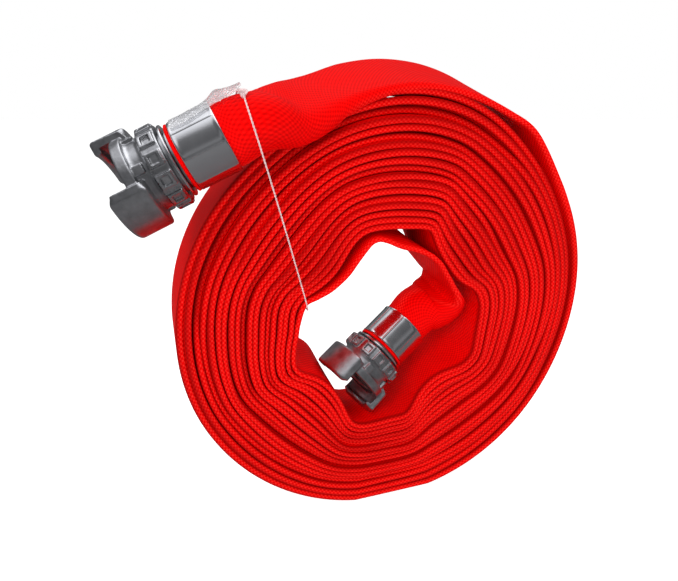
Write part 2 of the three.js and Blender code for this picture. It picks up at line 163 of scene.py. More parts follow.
def spline(rows, spacing):
    """A smooth curve through rows of numbers, whose first three are a place, in even steps along it."""
    rows = np.asarray(rows, float)
    steps = np.linalg.norm(np.diff(rows[:, :3], axis=0), axis=1)
    knots = np.concatenate([[0], np.cumsum(np.sqrt(steps))])
    slopes = np.gradient(rows, knots, axis=0)
    fine = np.linspace(0, knots[-1], 40 * len(rows))
    i = np.clip(np.searchsorted(knots, fine, side="right") - 1, 0, len(rows) - 2)
    h = (knots[i + 1] - knots[i])[:, None]
    t = ((fine - knots[i])[:, None]) / h
    curve = (
        (2 * t**3 - 3 * t**2 + 1) * rows[i]
        + (t**3 - 2 * t**2 + t) * h * slopes[i]
        + (3 * t**2 - 2 * t**3) * rows[i + 1]
        + (t**3 - t**2) * h * slopes[i + 1]
    )
    length = run_along(curve)
    even = np.linspace(0, length[-1], max(2, int(length[-1] / spacing) + 1))
    return np.stack([np.interp(even, length, curve[:, k]) for k in range(rows.shape[1])], axis=1)


def make_mesh(name, points, faces, uvs=None):
    """A smooth-shaded mesh object from points in millimetres, wound so that its volume is positive."""
    points = np.asarray(points, float)
    fans = [(face[0], face[j], face[j + 1]) for face in faces for j in range(1, len(face) - 1)]
    corners = points[np.array(fans)]
    volume = (corners[:, 0] * np.cross(corners[:, 1], corners[:, 2])).sum()
    if volume < 0:
        faces = [list(face)[::-1] for face in faces]
        uvs = None if uvs is None else [list(corner)[::-1] for corner in uvs]
    mesh = bpy.data.meshes.new(name)
    mesh.from_pydata((points * MM).tolist(), [], [[int(i) for i in face] for face in faces])
    if uvs is not None:
        layer = mesh.uv_layers.new(name="weave")
        layer.data.foreach_set("uv", np.array([uv for face in uvs for uv in face], float).ravel())
    mesh.polygons.foreach_set("use_smooth", [True] * len(mesh.polygons))
    mesh.update()
    obj = bpy.data.objects.new(name, mesh)
    scene.collection.objects.link(obj)
    return obj


def finish_piece(obj, material, body, slot, *nodes):
    obj.data.materials.clear()
    obj.data.materials.append(material)
    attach(obj, body)
    if nodes:
        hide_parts(*nodes)


def ring_faces(rings, across, closed_across=True, closed_along=False):
    """Quads between rings of points, as indices of the points."""
    faces = []
    for i in range(rings if closed_along else rings - 1):
        j = (i + 1) % rings
        for k in range(across if closed_across else across - 1):
            k2 = (k + 1) % across
            faces.append((i * across + k, j * across + k, j * across + k2, i * across + k2))
    return faces


def end_caps(rings, across):
    return [tuple(range(across))[::-1], tuple((rings - 1) * across + k for k in range(across))]


def rounded(profile, radius, steps=4):
    """A closed profile with each corner turned into a short arc."""
    points = [np.array(p[:2], float) for p in profile]
    made = []
    for i, p in enumerate(points):
        before, after = points[i - 1], points[(i + 1) % len(points)]
        a, b = before - p, after - p
        la, lb = np.linalg.norm(a), np.linalg.norm(b)
        cut = min(radius, 0.45 * la, 0.45 * lb)
        start, end = p + a / la * cut, p + b / lb * cut
        for j in range(steps + 1):
            t = j / steps
            made.append((1 - t) ** 2 * start + 2 * t * (1 - t) * p + t**2 * end)
    return made


def turned(profile, sides=120, mid_deg=0.0, span_deg=360.0):
    """Points and faces of a profile turned about Z, all the way round or over a span with flat ends."""
    whole = span_deg >= 360
    count = sides if whole else sides + 1
    angles = np.radians(mid_deg - span_deg / 2 + span_deg * np.arange(count) / sides)
    points = [(r * math.cos(a), r * math.sin(a), z) for a in angles for r, z in profile]
    faces = ring_faces(count, len(profile), closed_along=whole)
    return points, faces if whole else faces + end_caps(count, len(profile))


def joined(*shells):
    points, faces = [], []
    for more, quads in shells:
        faces += [tuple(i + len(points) for i in face) for face in quads]
        points += list(more)
    return points, faces


def cast_together(obj, voxel_mm, smoothing):
    """Melts the shells of a mesh into one skin with softly rounded edges, as a casting has."""
    remesh = obj.modifiers.new("cast", "REMESH")
    remesh.mode = "VOXEL"
    remesh.voxel_size = voxel_mm * MM
    remesh.use_smooth_shade = True
    smooth = obj.modifiers.new("soften", "SMOOTH")
    smooth.factor = 0.5
    smooth.iterations = smoothing
    made = bpy.data.meshes.new_from_object(obj.evaluated_get(bpy.context.evaluated_depsgraph_get()))
    obj.modifiers.clear()
    obj.data = made
    made.polygons.foreach_set("use_smooth", [True] * len(made.polygons))


# ---- Where the couplings are ----------------------------------------------------------------------
class Coupling:
    """The frame of one coupling: its Z runs out of the mouth, from the joint of its swivelling head."""

    def __init__(self, end):
        joint = next(j for j in frame["joints"] if j["name"] == f"{end}_swivel")
        self.end = end
        self.place = np.array(joint["pos_m"], float) / MM
        self.way = unit(joint["axis"])
        self.side = unit(np.cross((0.0, 1.0, 0.0), self.way))
        self.up = np.cross(self.way, self.side)

    def put(self, points, clock_deg=0.0):
        """Points in the coupling's own frame, turned by a clock angle, as points in the world."""
        points = np.asarray(points, float)
        c, s = math.cos(math.radians(clock_deg)), math.sin(math.radians(clock_deg))
        x = points[:, 0] * c - points[:, 1] * s
        y = points[:, 0] * s + points[:, 1] * c
        return self.place + x[:, None] * self.side + y[:, None] * self.up + points[:, 2:] * self.way

    def on_axis(self, z):
        """A point of the coupling's axis in roll coordinates."""
        return self.place + self.way * z - np.array((0, 0, ROLL_CENTRE_Z))


outer, inner = Coupling("outer"), Coupling("inner")


# ---- The path of the hose -------------------------------------------------------------------------
def hole_wave():
    """How far the innermost turn stands from a plain spiral, for every degree round the roll."""
    outline = np.array(HOLE_OUTLINE, float)
    rows = np.stack([outline[:, 0], np.zeros(len(outline)), outline[:, 1]], axis=1)
    curve = spline(rows, 0.5)
    angle = np.degrees(np.unwrap(np.arctan2(curve[:, 2], curve[:, 0]))) % 360
    turned_by = np.unwrap(angle, period=360)
    turned_by += START_DEG - turned_by[0]
    turned_by = np.maximum.accumulate(turned_by)
    first = START_DEG + np.arange(360)
    found = np.interp(first, turned_by, np.hypot(curve[:, 0], curve[:, 2]))
    wave = found + FLAT_HALF - base_radius(first)
    kernel = np.hanning(9)
    wave = np.convolve(np.concatenate([wave[-4:], wave, wave[:4]]), kernel / kernel.sum(), mode="valid")
    return np.roll(wave, int(START_DEG))


def base_radius(turn_deg):
    """A plain spiral whose outer turns lie a little looser than the inner ones."""
    turns_in = (OUTERMOST_DEG - turn_deg) / 360
    return OUTER_MID - TURN_PITCH * turns_in - LOOSE_OUTSIDE * (1 - np.exp(-turns_in / LOOSE_TURNS))


WAVE = hole_wave()


def radius_at(turn_deg):
    """Middle of the hose's thickness, from the roll's middle, at an angle counted through all turns."""
    base = base_radius(turn_deg)
    share = np.clip((turn_deg - START_DEG - 300) / (END_DEG - START_DEG - 300), 0, 1)
    wave = np.interp(turn_deg % 360, np.arange(361), np.append(WAVE, WAVE[0]))
    rad = np.radians(turn_deg)
    ripple = sum(height * np.sin(rate * rad + phase) for height, rate, phase in RIPPLES)
    loose = np.clip(share * 6, 0, 1) * np.clip((1 - share) * 12, 0, 1)
    lift = KNEE_LIFT * np.exp(-(((turn_deg - (OUTERMOST_DEG + 1)) / KNEE_REACH_DEG) ** 2))
    round_deg = turn_deg % 360
    bulge = sum(height * np.exp(-((((round_deg - middle + 180) % 360 - 180) / reach) ** 2))
                for height, middle, reach in BULGES)
    radius = base + wave * (1 - share) ** WAVE_FADE + ripple * loose + lift + bulge * share**2
    off = np.abs(round_deg - 270)
    flat = np.minimum(1, ROLL_CENTRE_Z / ((ROLL_RADIUS + 0.6) * np.cos(np.radians(np.minimum(off, 60)))))
    return radius * (1 - (1 - flat) * share**1.5)


def set_back(turn_deg):
    """How far each turn sits back from the front face: a slow wander, and the turns of SET_BACK."""
    rad = np.radians(turn_deg)
    shift = 0.7 * np.sin(0.83 * rad + 2.0) + 0.5 * np.sin(1.91 * rad) + 0.4 * np.sin(3.7 * rad + 1.0)
    for turn, start, stop, depth in SET_BACK:
        centre = 360 * (TURNS - turn) + (start + stop) / 2
        reach = (stop - start) / 2
        shift = shift + depth * smoothstep((reach - np.abs(turn_deg - centre)) / 25 + 0.5)
    ends = smoothstep((turn_deg - START_DEG) / 60) * smoothstep((END_DEG - turn_deg) / 60)
    return shift * ends


def spiral_rows():
    """The sections of the wound turns, each as thick as the room between its neighbours allows."""
    turn = np.arange(START_DEG, END_DEG, 2.0)
    mid = radius_at(turn)
    inside = np.where(turn - 360 >= START_DEG, (mid + radius_at(turn - 360)) / 2, mid - FLAT_HALF)
    outside = np.where(turn + 360 <= END_DEG, (mid + radius_at(turn + 360)) / 2, mid + FLAT_HALF)
    inside, outside = np.maximum(inside, mid - THICKEST_HALF), np.minimum(outside, mid + THICKEST_HALF)
    half = np.clip((outside - inside) / 2 - TURN_GAP, THINNEST_HALF, THICKEST_HALF)
    centre = (inside + outside) / 2
    rad = np.radians(turn)
    zero = np.zeros(len(turn))
    lean = sum(slope * np.exp(-(((turn % 360 - middle) / reach) ** 2)) for slope, middle, reach in LEANS)
    lean = lean * np.exp(-(turn - START_DEG) / LEAN_FADE_DEG)
    tilt = 0.012 * np.sin(0.61 * rad + 0.5) - lean
    centre = centre - HALF_WIDTH * lean
    return np.stack([
        centre * np.cos(rad), set_back(turn), centre * np.sin(rad),
        tilt * np.cos(rad), zero + 1, tilt * np.sin(rad), zero + HALF_WIDTH, half,
    ], axis=1)


def stretch_into(coupling, thick_behind):
    """The last rows of the hose, where it rounds out and runs into the ferrule."""
    rows = []
    for z, wide, thick in ((FERRULE_Z[0] - 17, 22.3, thick_behind), (FERRULE_Z[0] - 4, 20.3, 20.2),
                           (FERRULE_Z[0] + 3, 20.2, 20.2), (-45.0, 20.2, 20.2), (-34.6, 20.2, 20.2)):
        rows.append((*coupling.on_axis(z), 0.0, 1.0, 0.0, wide, thick))
    return rows


def hose_rows():
    """All sections of the hose, from the inner ferrule through the turns to the outer ferrule."""
    spiral = spiral_rows()
    tongue = spline(stretch_into(inner, 20.6)[::-1] + TONGUE + spiral[[3, 6, 9]].tolist(), 2.0)
    joint = np.argmin(np.linalg.norm(tongue[:, :3] - spiral[6, :3], axis=1))
    lead = spline(spiral[[-10, -6, -3]].tolist() + LEAD + stretch_into(outer, 18.5), 3.0)
    start = np.argmin(np.linalg.norm(lead[:, :3] - spiral[-6, :3], axis=1))
    return np.concatenate([tongue[:joint], spiral[6:-6], lead[start:]])


CAP_POINTS = 7
FLAT_POINTS = 5
AROUND = 2 * (CAP_POINTS + FLAT_POINTS)
# The hose's end past the ferrule, as radius and place on the coupling's axis: over the lip and back inside.
LIP = ((21.35, -34.2), (21.75, -33.4), (21.6, -32.6), (20.9, -32.1), (19.9, -32.1), (19.35, -32.8),
       (19.3, -40.0), (19.3, -69.2))
LIP_STEP = 2.0


def section_places(half_wide, half_thick):
    """Distances round a lay-flat section at which its points stand: close on the edges, even once round."""
    straight = 2 * (half_wide - half_thick)
    bend = math.pi * half_thick
    perimeter = 2 * (straight + bend)
    flat = []
    for base in (0.0, straight + bend):
        flat += [base + bend * j / (CAP_POINTS - 1) for j in range(CAP_POINTS)]
        flat += [base + bend + straight * (j + 1) / (FLAT_POINTS + 1) for j in range(FLAT_POINTS)]
    even = [perimeter * (k + 0.5 - CAP_POINTS / 2) / AROUND + bend / 2 for k in range(AROUND)]
    roundness = float(smoothstep((half_thick / half_wide - 0.12) / 0.6))
    return [(1 - roundness) * f + roundness * e for f, e in zip(flat, even)], perimeter


def racetrack(distance, half_wide, half_thick):
    """Across and through, at a distance round the section from the start of its first edge."""
    straight = 2 * (half_wide - half_thick)
    bend = math.pi * half_thick
    distance %= 2 * (straight + bend)
    sign = 1.0
    if distance >= straight + bend:
        distance -= straight + bend
        sign = -1.0
    if distance <= bend:
        angle = distance / half_thick - math.pi / 2
        return sign * (straight / 2 + half_thick * math.cos(angle)), sign * half_thick * math.sin(angle)
    return sign * (straight / 2 - (distance - bend)), sign * half_thick


def lip_rings(coupling, first, second, order):
    """Rings that turn the hose's end in over its lip and back down inside, as far as the lining goes."""
    made = []
    for radius, z in LIP:
        centre = coupling.on_axis(z)
        made.append([centre + radius * (math.cos(a) * first + math.sin(a) * second) for a in order])
    return made


def build_hose(material):
    """The whole hose as one closed skin with its weave's coordinates; also its length in metres."""
    rows = hose_rows()
    lift = np.array((0, 0, ROLL_CENTRE_Z))
    place = rows[:, :3] + lift
    heading = unit(np.gradient(place, axis=0))
    wide = rows[:, 3:6] - (rows[:, 3:6] * heading).sum(1, keepdims=True) * heading
    wide = unit(wide)
    through = np.cross(heading, wide)
    run = run_along(rows)
    rings, places = [], []
    for i in range(len(rows)):
        spots, perimeter = section_places(rows[i, 6], rows[i, 7])
        ring = []
        for distance in spots:
            x, y = racetrack(distance, rows[i, 6], rows[i, 7])
            ring.append(place[i] + x * wide[i] + y * through[i])
        rings.append(ring)
        places.append([run[i], *spots, spots[0] + perimeter])
    last = len(rows) - 1
    for coupling, row in ((outer, last), (inner, 0)):
        spokes = np.array(rings[row]) - place[row]
        order = np.arctan2(spokes @ through[row], spokes @ wide[row])
        lip = [[p + lift for p in ring] for ring in lip_rings(coupling, wide[row], through[row], order)]
        step = LIP_STEP if row else -LIP_STEP
        lip_places = [[run[row] + step * (j + 1), *places[row][1:]] for j in range(len(lip))]
        rings = rings + lip if row else lip[::-1] + rings
        places = places + lip_places if row else lip_places[::-1] + places
    count = len(rings)
    points = np.array(rings).reshape(-1, 3)
    faces = ring_faces(count, AROUND)
    uvs = []
    for i in range(count - 1):
        for k in range(AROUND):
            a, b = places[i], places[i + 1]
            uvs.append([(a[0] * MM, a[k + 1] * MM), (b[0] * MM, b[k + 1] * MM),
                        (b[0] * MM, b[k + 2] * MM), (a[0] * MM, a[k + 2] * MM)])
    for base in (0, (count - 1) * AROUND):
        faces.append(tuple(base + k for k in range(AROUND))[:: 1 if base == 0 else -1])
        uvs.append([(0.0, 0.0)] * AROUND)
    hose = make_mesh("woven_hose", points, faces, uvs)
    finish_piece(hose, material, "root", "woven_jacket", "hose_roll", "outer_hose_end", "inner_hose_end")
    return hose, float(run[-1] * MM)


# ---- Materials ------------------------------------------------------------------------------------
class Nodes:
    """A material under construction, with short ways to add and join its nodes."""

    def __init__(self, name):
        self.material = bpy.data.materials.new(name)
        self.material.use_nodes = True
        self.tree = self.material.node_tree
        self.shader = self.tree.nodes["Principled BSDF"]

    def add(self, kind, settings=None, **values):
        node = self.tree.nodes.new(kind)
        for key, value in (settings or {}).items():
            setattr(node, key, value)
        for key, value in values.items():
            self.put(node.inputs[key.replace("_", " ")], value)
        return node

    def put(self, socket, value):
        if isinstance(value, bpy.types.NodeSocket):
            self.tree.links.new(value, socket)
        else:
            socket.default_value = value

    def maths(self, operation, *values):
        node = self.tree.nodes.new("ShaderNodeMath")
        node.operation = operation
        for socket, value in zip(node.inputs, values):
            self.put(socket, value)
        return node.outputs[0]

    def ramp(self, value, *stops):
        node = self.tree.nodes.new("ShaderNodeValToRGB")
        while len(node.color_ramp.elements) < len(stops):
            node.color_ramp.elements.new(0.5)
        for element, (place, color) in zip(node.color_ramp.elements, stops):
            element.position = place
            element.color = (*color, 1) if len(color) == 3 else color
        self.put(node.inputs[0], value)
        return node.outputs[0]

    def blend(self, share, low, high, way="MIX"):
        node = self.tree.nodes.new("ShaderNodeMix")
        node.data_type = "RGBA"
        node.blend_type = way
        self.put(node.inputs[0], share)
        self.put(node.inputs[6], low)
        self.put(node.inputs[7], high)
        return node.outputs[2]

    def noise(self, where, scale, detail=4.0, roughness=0.55):
        node = self.add("ShaderNodeTexNoise", Vector=where, Scale=scale, Detail=detail, Roughness=roughness)
        return node.outputs["Fac"]

    def place(self):
        return self.add("ShaderNodeTexCoord").outputs["Object"]

    def bump(self, height, distance, strength=1.0):
        node = self.add("ShaderNodeBump", Height=height, Distance=distance, Strength=strength)
        return node.outputs["Normal"]

    def finish(self, **values):
        for key, value in values.items():
            self.put(self.shader.inputs[key.replace("_", " ")], value)
        return self.material


THREAD_ALONG = 0.0036
THREAD_AROUND = 0.0032
FRONT_EDGE = 0.0698
EDGE_REACH = 0.006


def woven_red(length):
    """Red plain weave, with a painted highlight on the thread crowns and painted shade in the hollows, a
    stronger painted highlight along the front edge, and painted shade where the edges of rolled turns meet.

    The weave's coordinates are metres along the hose and round its section, where the front edge is at
    FRONT_EDGE. The painted shade where turns meet keeps to the wound turns and leaves out the two loose
    ends.
    """
    n = Nodes("woven_red")
    uv = n.add("ShaderNodeUVMap", {"uv_map": "weave"}).outputs[0]
    split = n.add("ShaderNodeSeparateXYZ", Vector=uv)
    along, around = split.outputs[0], split.outputs[1]
    warp = n.maths("COSINE", n.maths("MULTIPLY", along, 2 * math.pi / THREAD_ALONG))
    weft = n.maths("COSINE", n.maths("MULTIPLY", around, 2 * math.pi / THREAD_AROUND))
    threads = n.maths("MULTIPLY_ADD", n.maths("MULTIPLY", warp, weft), 0.5, 0.5)
    place = n.place()
    fuzz = n.noise(place, 900.0, 3.0)
    patches = n.noise(place, 22.0, 4.0)
    worn = n.noise(place, 140.0, 3.0)
    # The front edge of the section, where the weave gets a stronger painted highlight.
    from_edge = n.maths("ABSOLUTE", n.maths("SUBTRACT", around, FRONT_EDGE))
    edge = n.maths("SUBTRACT", 1.0, n.maths("MULTIPLY", from_edge, 1 / EDGE_REACH))
    edge = n.maths("MAXIMUM", edge, 0.0)
    lit = n.maths("ADD", n.maths("MULTIPLY", threads, 0.7), n.maths("MULTIPLY", fuzz, 0.3))
    # Weave colour: a painted highlight on the thread crowns and painted shade in the hollows.
    plain = n.ramp(lit, (0.15, (0.62, 0.0, 0.0)), (0.5, (0.84, 0.0, 0.0)), (0.85, (1.0, 0.003, 0.002)))
    # On the front edge, a stronger painted highlight, pink-white on the crowns, as though they catch the
    # light.
    edge_highlight = n.ramp(lit, (0.2, (0.7, 0.0, 0.0)), (0.5, (0.95, 0.0, 0.0)), (0.8, (1.0, 0.035, 0.025)))
    # Painted shade in the grooves where the edges of neighbouring turns meet.
    groove_shade = n.ramp(from_edge, (0.0016, (1.0, 1.0, 1.0)), (0.0036, (0.4, 0.3, 0.3)),
                     (0.0042, (0.4, 0.3, 0.3)), (0.007, (1.0, 1.0, 1.0)))
    color = n.blend(edge, plain, edge_highlight)
    shade = n.ramp(patches, (0.3, (0.9, 0.9, 0.9)), (0.7, (1.0, 1.0, 1.0)))
    color = n.blend(1.0, color, shade, "MULTIPLY")
    # The painted groove shade is kept to the wound turns and left out on the two loose ends.
    rolled = n.ramp(n.maths("DIVIDE", along, length),
                    (0.25 / length, (0, 0, 0)), (0.31 / length, (1, 1, 1)),
                    (1 - 0.42 / length, (1, 1, 1)), (1 - 0.36 / length, (0, 0, 0)))
    color = n.blend(rolled, color, groove_shade, "MULTIPLY")
    height = n.maths("ADD", threads, n.maths("MULTIPLY", worn, 0.6))
    roughness = n.maths("MULTIPLY_ADD", patches, 0.2, 0.5)
    return n.finish(Base_Color=color, Roughness=roughness, Normal=n.bump(height, 0.00022, 0.5),
                    Specular_IOR_Level=0.05)


def cast_metal(name, base, roughness, grain):
    """Satin cast aluminium: fine sandy grain, faint blotches and a few darker pits."""
    n = Nodes(name)
    place = n.place()
    sand = n.noise(place, 1500.0, 4.0)
    blotch = n.noise(place, 160.0, 5.0)
    pits = n.add("ShaderNodeTexVoronoi", Vector=place, Scale=420.0).outputs["Distance"]
    pit = n.ramp(pits, (0.02, (0.0, 0.0, 0.0)), (0.16, (1.0, 1.0, 1.0)))
    dark = tuple(0.72 * c for c in base)
    color = n.blend(n.ramp(blotch, (0.35, (0, 0, 0)), (0.68, (1, 1, 1))), (*dark, 1), (*base, 1))
    rough = n.maths("MULTIPLY_ADD", blotch, 0.18, roughness - 0.08)
    height = n.maths("ADD", n.maths("MULTIPLY", sand, 0.35), n.maths("MULTIPLY", pit, 0.25))
    height = n.maths("ADD", height, n.maths("MULTIPLY", blotch, 1.6))
    return n.finish(Base_Color=color, Metallic=1.0, Roughness=rough, Normal=n.bump(height, 0.0002, grain))


def bright_metal():
    """Rolled and polished aluminium: near mirror, with fine marks and smudges."""
    n = Nodes("bright_metal")
    place = n.place()
    drawn_out = n.add("ShaderNodeMapping", Vector=place, Scale=(1.0, 0.08, 1.0)).outputs[0]
    marks = n.noise(drawn_out, 900.0, 4.0)
    smudge = n.noise(place, 70.0, 4.0)
    color = n.blend(smudge, (0.66, 0.67, 0.69, 1), (0.86, 0.87, 0.89, 1))
    rough = n.maths("MULTIPLY_ADD", smudge, 0.14, 0.1)
    return n.finish(Base_Color=color, Metallic=1.0, Roughness=rough, Normal=n.bump(marks, 0.00004, 0.35))


def rubber(name, tone, roughness):
    """Black rubber with a fine grain and a little dust."""
    n = Nodes(name)
    place = n.place()
    grain = n.noise(place, 1100.0, 4.0)
    dust = n.noise(place, 90.0, 4.0)
    color = n.blend(dust, (tone, tone, tone * 1.05, 1), (tone * 2.2, tone * 2.2, tone * 2.2, 1))
    rough = n.maths("MULTIPLY_ADD", dust, 0.2, roughness)
    return n.finish(Base_Color=color, Roughness=rough, Normal=n.bump(grain, 0.00012, 0.5))


def clear(name, tint, transmission, roughness, alpha, wrinkle_scale):
    """Clear plastic, cloudy and wrinkled, which the background shows through in places."""
    n = Nodes(name)
    place = n.place()
    wrinkles = n.noise(place, wrinkle_scale, 4.0)
    cloud = n.noise(place, wrinkle_scale * 0.4, 3.0)
    rough = n.maths("MULTIPLY_ADD", cloud, 0.15, roughness)
    seen = n.maths("MULTIPLY_ADD", wrinkles, 0.3, alpha - 0.15)
    return n.finish(Base_Color=(*tint, 1), Transmission_Weight=transmission, Roughness=rough, IOR=1.4,
                    Alpha=seen, Normal=n.bump(wrinkles, 0.0005, 0.5))


RED = woven_red(run_along(hose_rows())[-1] * MM)
CAST = cast_metal("cast_aluminium", (0.62, 0.63, 0.65), 0.34, 0.8)
RING_CAST = cast_metal("ring_aluminium", (0.66, 0.67, 0.69), 0.27, 0.55)
TURNED = cast_metal("turned_aluminium", (0.6, 0.61, 0.63), 0.32, 0.3)
BRIGHT = bright_metal()
SEAL = rubber("seal_rubber", 0.012, 0.45)
LINING = rubber("lining_rubber", 0.015, 0.6)
STRING = clear("string_plastic", (0.95, 0.78, 0.78), 0.25, 0.3, 0.8, 500.0)
FILM = clear("clear_film", (0.9, 0.9, 0.92), 0.6, 0.18, 0.42, 160.0)


# ---- The couplings --------------------------------------------------------------------------------
CLAW_SPAN_DEG = 88.0
FERRULE_FACETS = 8
FACET_DEPTH = 0.42
RIDGE_HEIGHT = 0.3
FERRULE_RADIUS = 21.8
RING_PADS = 12
BARBS = 5


def claw_hook(mid_deg):
    """One claw: a hooked section swept round the axis, whose far corners are drawn in at both ends."""
    profile = rounded([(21.4, -6.8), (22.8, -10.5), (31.7, -10.5), (31.7, 12.5), (22.6, 12.5), (22.6, 7.6),
                       (26.4, 7.6), (26.4, -0.8), (23.5, -1.2), (21.4, -3.0)], 2.2, 4)
    sides = 56
    half = CLAW_SPAN_DEG / 2
    angles = np.linspace(-half, half, sides + 1)
    points = []
    for angle in angles:
        drawn = smoothstep((abs(angle) / half - 0.72) / 0.28) ** 1.5
        a = math.radians(mid_deg + angle)
        for r, z in profile:
            tip = max(0.0, (z - 6.0) / 6.5)
            heel = max(0.0, (-z - 6.0) / 4.5)
            rr = r - drawn * (0.8 + 1.6 * heel) * max(0.0, (r - 24.0) / 7.7)
            zz = z - drawn * 2.6 * tip + drawn * 2.4 * heel * max(0.0, (r - 24.0) / 7.7)
            points.append((rr * math.cos(a), rr * math.sin(a), zz))
    return points, ring_faces(sides + 1, len(profile)) + end_caps(sides + 1, len(profile))


def block(inner_r, outer_r, z0, z1, mid_deg, span_deg):
    return turned([(inner_r, z0), (outer_r, z0), (outer_r, z1), (inner_r, z1)], 6, mid_deg, span_deg)


def claw_head():
    """The cast head: bore, seal groove, flange and skirt, with two claws and the webs beside them."""
    body = turned(rounded([
        (14.5, 0.0), (14.5, -11.5), (20.8, -11.5), (20.8, -24.8), (22.8, -24.8), (22.8, -15.2),
        (22.2, -14.0), (22.2, -8.6), (23.6, -6.8), (26.0, -6.8), (26.0, 0.0), (21.2, 0.0),
        (21.2, -3.2), (16.8, -3.2), (16.8, 0.0),
    ], 0.7, 3), 160)
    stiffeners = [block(21.0, 24.6, -13.6, -6.0, mid, 14) for mid in (58, 122, 238, 302)]
    return joined(body, claw_hook(0), claw_hook(180), *stiffeners)


def lock_ring():
    """A ring with pads all round it, each a raised frame about a pocket."""
    base = turned(rounded([
        (18.9, -27.2), (24.3, -27.2), (24.3, -15.5), (23.1, -15.5), (23.1, -25.1), (20.5, -25.1),
        (20.5, -20.3), (18.9, -20.3),
    ], 0.6, 3), 160)
    shells = [base]
    for i in range(RING_PADS):
        deg = 360.0 / RING_PADS * i
        for z0, z1 in ((-26.1, -23.9), (-18.7, -16.6)):
            shells.append(block(23.6, 26.2, z0, z1, deg, 20))
        for side in (-8.1, 8.1):
            shells.append(block(23.6, 26.2, -26.1, -16.6, deg + side, 3.8))
    return joined(*shells)


def ferrule():
    """The crimped sleeve: eight slightly flattened faces, with a fine ridge where two faces meet."""
    z0, z1 = FERRULE_Z
    sides = 480
    outside = [(21.15, z0), (21.6, z0 + 0.15), (FERRULE_RADIUS, z0 + 0.5)]
    outside += [(FERRULE_RADIUS, z) for z in np.linspace(z0 + 1.2, z1 - 1.2, 30)]
    outside += [(FERRULE_RADIUS, z1 - 0.5), (21.6, z1 - 0.15), (21.15, z1)]
    inside = [(20.55, z) for z in np.linspace(z1, z0, 12)]
    profile = outside + inside
    points = []
    for i in range(sides):
        angle = 360.0 * i / sides
        pitch = 360.0 / FERRULE_FACETS
        off = (angle + pitch / 2) % pitch - pitch / 2
        for r, z in profile:
            if r > 20.6:
                ends = smoothstep((min(z - z0, z1 - z) - 0.4) / 2.0)
                r = r - FACET_DEPTH * ends * math.sin(math.pi * abs(off) / pitch) ** 1.2
                r = r + RIDGE_HEIGHT * ends * math.exp(-((off / 0.9) ** 2))
            a = math.radians(angle)
            points.append((r * math.cos(a), r * math.sin(a), z))
    return points, ring_faces(sides, len(profile), closed_along=True)


def tail():
    """The barbed shank inside the hose, and the collar with its seal channel inside the head."""
    pitch = (FERRULE_Z[1] - FERRULE_Z[0]) / BARBS
    profile = [(14.8, -11.8), (14.8, -63.5), (16.9, -63.5)]
    for i in range(BARBS):
        z = FERRULE_Z[0] + i * pitch
        profile += [(18.5, z + pitch * 0.6), (17.3, z + pitch * 0.75)]
    profile += [(18.5, -34.0), (18.5, -30.6), (17.6, -30.6), (17.6, -28.5), (18.5, -28.5), (18.5, -20.0),
                (20.5, -20.0), (20.5, -17.2), (18.0, -17.2), (18.0, -14.2), (20.5, -14.2), (20.5, -11.8)]
    return turned(rounded(profile, 0.3, 2), 120)


def circle_profile(middle, radius, sides=16):
    turns = [2 * math.pi * k / sides for k in range(sides)]
    return [(middle[0] + radius * math.cos(a), middle[1] + radius * math.sin(a)) for a in turns]


def build_coupling(coupling):
    """All eight pieces of one coupling; those with a voxel size are melted into one casting each."""
    end = coupling.end
    clock = CLOCK_DEG[end]
    seal = rounded([(17.1, -2.9), (20.9, -2.9), (20.9, 0.6), (17.1, 0.6)], 0.6)
    clip = rounded([(17.9, -30.3), (23.0, -30.3), (23.0, -28.8), (17.9, -28.8)], 0.5)
    lining = rounded([(18.75, -69.0), (19.2, -69.0), (19.2, -32.5), (18.75, -32.5)], 0.15, 2)
    o_ring = circle_profile((19.42, -15.7), 1.12)
    head, fixed = (f"{end}_head", clock), ("root", 0)
    shapes = [
        ("claw_head", claw_head(), CAST, "cast_aluminium", *head, 0.5),
        ("lock_ring", lock_ring(), RING_CAST, "cast_aluminium", *head, 0.45),
        ("face_seal", turned(seal, 120), SEAL, "seal_rubber", *head, 0),
        ("tail", tail(), TURNED, "cast_aluminium", *fixed, 0),
        ("swivel_seal", turned(o_ring, 120), SEAL, "seal_rubber", *fixed, 0),
        ("retaining_clip", turned(clip, 160), BRIGHT, "polished_aluminium", *fixed, 0),
        ("ferrule", ferrule(), BRIGHT, "polished_aluminium", *fixed, 0),
        ("lining", turned(lining, 96), LINING, "hose_lining", *fixed, 0),
    ]
    for part, (points, faces), material, slot, body, turn, voxel in shapes:
        obj = make_mesh(f"{end}_{part}_visual", coupling.put(points, turn), faces)
        if voxel:
            cast_together(obj, voxel, 3)
        finish_piece(obj, material, body, slot, f"{end}_{part}")


# ---- The tie --------------------------------------------------------------------------------------
def tube(path, radius, sides=8, twist_mm=0.0, offset=0.0, phase=0.0):
    """A tube along a path, closed at both ends; with an offset it winds round the path like one ply."""
    path = np.asarray(path, float)
    ahead = unit(np.gradient(path, axis=0))
    normal = unit(np.cross(ahead[0], (0.3, 0.2, 0.93)))
    normals = []
    for way in ahead:
        normal = unit(normal - (normal @ way) * way)
        normals.append(normal)
    normals = np.array(normals)
    other = np.cross(ahead, normals)
    run = run_along(path)
    if offset:
        turn = phase + 2 * math.pi * run / twist_mm
        path = path + offset * (np.cos(turn)[:, None] * normals + np.sin(turn)[:, None] * other)
    points = []
    for i in range(len(path)):
        for k in range(sides):
            a = 2 * math.pi * k / sides
            points.append(path[i] + radius * (math.cos(a) * normals[i] + math.sin(a) * other[i]))
    return points, ring_faces(len(path), sides) + end_caps(len(path), sides)


